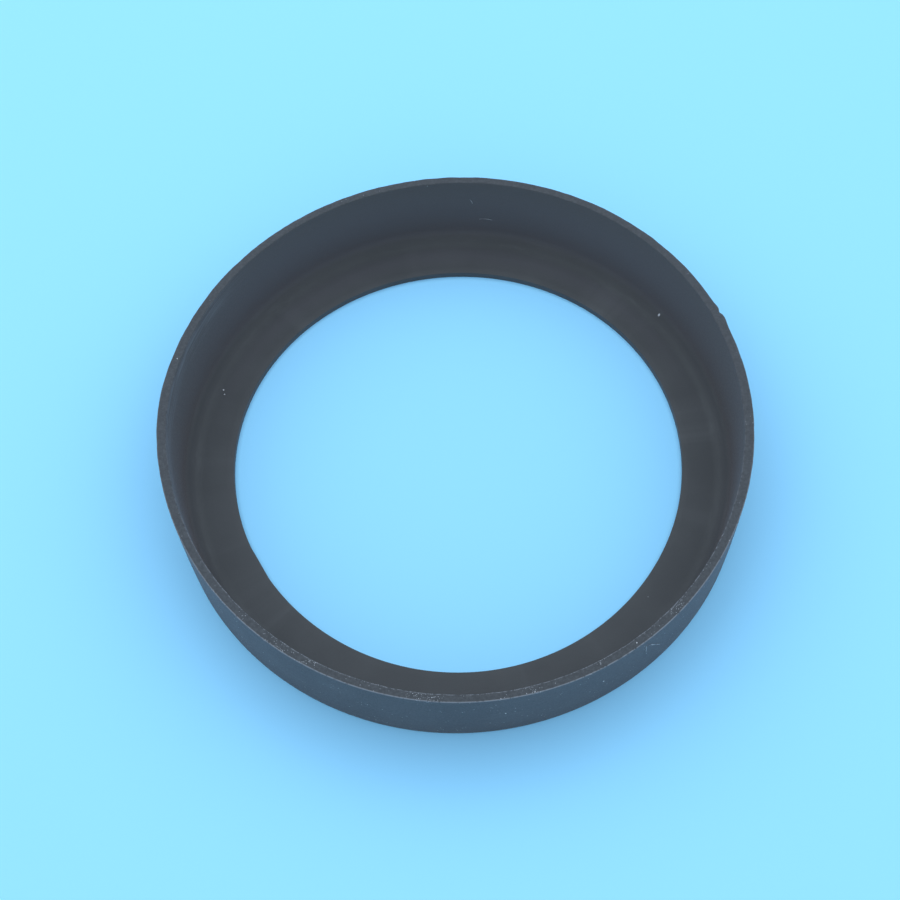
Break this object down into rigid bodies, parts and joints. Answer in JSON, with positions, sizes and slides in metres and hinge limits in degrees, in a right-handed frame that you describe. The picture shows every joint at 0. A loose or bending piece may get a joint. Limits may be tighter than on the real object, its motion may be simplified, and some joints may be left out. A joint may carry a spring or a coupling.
{
  "type": "piston cup seal",
  "caption": "Moulded rubber cup seal ring of L-section: a flat base flange with a large bore, and one thin upright outer lip.",
  "frame": {"origin": "centre of the base's underside, on the ring's axis", "axes": "+Z along the ring's axis, from the base flange to the lip; +X and +Y are across the ring, with the nick in the lip 22 degrees round from +X towards +Y"},
  "size_m": [0.1, 0.1, 0.017],
  "materials": {
    "rubber": "matt, as moulded"
  },
  "bodies": {
    "root": {"cup_seal": "rubber"}
  },
  "joints": []
}
